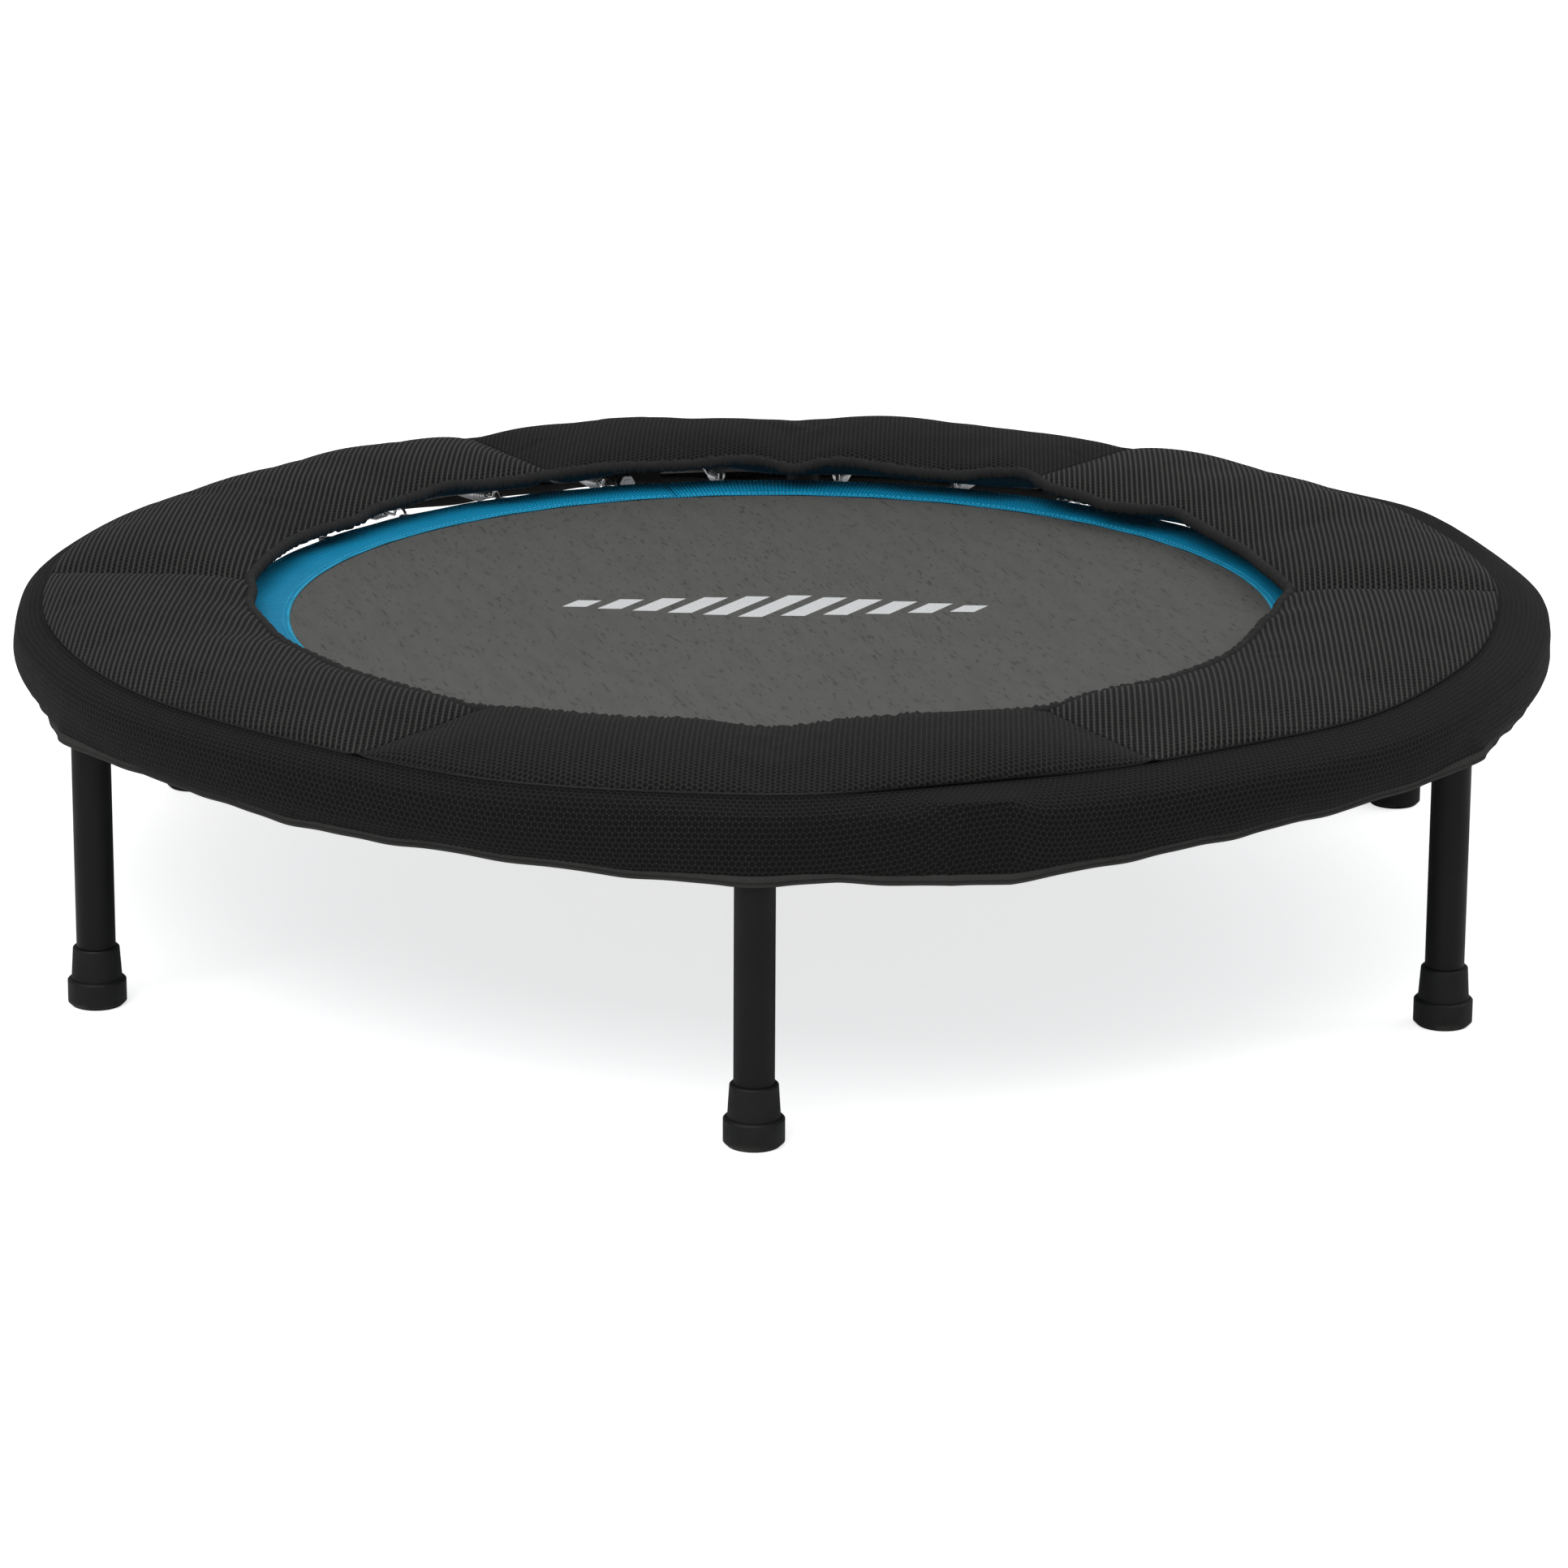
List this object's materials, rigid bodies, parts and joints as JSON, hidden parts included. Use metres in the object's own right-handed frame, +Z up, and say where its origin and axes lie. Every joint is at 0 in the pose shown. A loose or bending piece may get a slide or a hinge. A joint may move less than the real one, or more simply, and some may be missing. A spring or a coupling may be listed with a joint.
{
  "type": "mini trampoline",
  "caption": "Folding mini trampoline: hinged steel ring on screw-in legs, mat hung on coil springs, padded mesh cover with a skirt.",
  "frame": {"origin": "on the floor, under the middle of the mat", "axes": "+Z up; the front leg is at -Y and the legs stand every 60 degrees; the fold line runs through azimuths 285 and 105 degrees, measured from +X towards +Y"},
  "size_m": [1.0218, 1.0276, 0.2295],
  "materials": {
    "frame_black": "satin powder coat",
    "zinc_steel": "bright zinc plate",
    "spring_steel": "bright plated wire",
    "foot_rubber": "matt, slightly worn",
    "mat_weave": "woven polypropylene",
    "band_webbing": "ribbed webbing",
    "cover_mesh": "black air mesh over foam",
    "binding_tape": "folded edge tape"
  },
  "bodies": {
    "half_a": {"frame_rail_a": "frame_black", "leg_sockets_a": "frame_black", "hinge_fork_front": "frame_black", "hinge_fork_rear": "frame_black", "hinge_pivot_bolts": "zinc_steel", "hinge_washers": "zinc_steel", "hinge_nuts": "zinc_steel", "hinge_stop_bolts": "zinc_steel", "hinge_stop_nuts": "zinc_steel", "springs_a": "spring_steel", "pad_right_front": "cover_mesh", "pad_right_rear": "cover_mesh", "pad_rear": "cover_mesh", "pad_front_fold_after": "cover_mesh", "pad_rear_fold_before": "cover_mesh", "skirt_a": "cover_mesh", "skirt_hem_a": "binding_tape", "pad_binding_a": "binding_tape", "skirt_fold_a": "cover_mesh"},
    "half_b": {"frame_rail_b": "frame_black", "leg_sockets_b": "frame_black", "hinge_knuckle_front": "frame_black", "hinge_knuckle_rear": "frame_black", "springs_b": "spring_steel", "pad_left_rear": "cover_mesh", "pad_left_front": "cover_mesh", "pad_front": "cover_mesh", "pad_front_fold_before": "cover_mesh", "pad_rear_fold_after": "cover_mesh", "skirt_b": "cover_mesh", "skirt_hem_b": "binding_tape", "pad_binding_b": "binding_tape", "skirt_fold_b": "cover_mesh"},
    "mat_a": {"mat_a": "mat_weave", "mat_band_a": "band_webbing", "v_rings_a": "spring_steel"},
    "mat_b": {"mat_b": "mat_weave", "mat_band_b": "band_webbing", "v_rings_b": "spring_steel"},
    "leg_1": {"leg_tube_1": "frame_black", "leg_stud_1": "zinc_steel", "foot_1": "foot_rubber"},
    "leg_2": {"leg_tube_2": "frame_black", "leg_stud_2": "zinc_steel", "foot_2": "foot_rubber"},
    "leg_3": {"leg_tube_3": "frame_black", "leg_stud_3": "zinc_steel", "foot_3": "foot_rubber"},
    "leg_4": {"leg_tube_4": "frame_black", "leg_stud_4": "zinc_steel", "foot_4": "foot_rubber"},
    "leg_5": {"leg_tube_5": "frame_black", "leg_stud_5": "zinc_steel", "foot_5": "foot_rubber"},
    "leg_6": {"leg_tube_6": "frame_black", "leg_stud_6": "zinc_steel", "foot_6": "foot_rubber"}
  },
  "joints": [
    {"name": "fold", "type": "hinge", "parent": "half_a", "child": "half_b", "pos_m": [0, 0, 0.2015], "axis": [-0.2588, 0.9659, 0], "range_deg": [0, 145], "deforming": ["pad_front_fold_before", "pad_front_fold_after", "pad_rear_fold_before", "pad_rear_fold_after", "skirt_fold_a", "skirt_fold_b", "pad_binding_a", "pad_binding_b"]},
    {"name": "bounce", "type": "slide", "parent": "half_a", "child": "mat_a", "axis": [0, 0, 1], "range_m": [-0.08, 0], "stiffness_N_per_m": 10000, "deforming": ["springs_a"]},
    {"name": "bounce_b", "type": "slide", "parent": "half_b", "child": "mat_b", "axis": [0, 0, 1], "range_m": [-0.08, 0], "stiffness_N_per_m": 10000, "deforming": ["springs_b"]},
    {"name": "leg_1_screw", "type": "hinge", "parent": "half_b", "child": "leg_1", "pos_m": [0, -0.495, 0.18], "axis": [0, 0, 1], "continuous": true},
    {"name": "leg_2_screw", "type": "hinge", "parent": "half_a", "child": "leg_2", "pos_m": [0.42868, -0.2475, 0.18], "axis": [0, 0, 1], "continuous": true},
    {"name": "leg_3_screw", "type": "hinge", "parent": "half_a", "child": "leg_3", "pos_m": [0.42868, 0.2475, 0.18], "axis": [0, 0, 1], "continuous": true},
    {"name": "leg_4_screw", "type": "hinge", "parent": "half_a", "child": "leg_4", "pos_m": [0, 0.495, 0.18], "axis": [0, 0, 1], "continuous": true},
    {"name": "leg_5_screw", "type": "hinge", "parent": "half_b", "child": "leg_5", "pos_m": [-0.42868, 0.2475, 0.18], "axis": [0, 0, 1], "continuous": true},
    {"name": "leg_6_screw", "type": "hinge", "parent": "half_b", "child": "leg_6", "pos_m": [-0.42868, -0.2475, 0.18], "axis": [0, 0, 1], "continuous": true}
  ],
  "couplings": [
    {"joint": "bounce_b", "follows": "bounce", "ratio": 1}
  ]
}
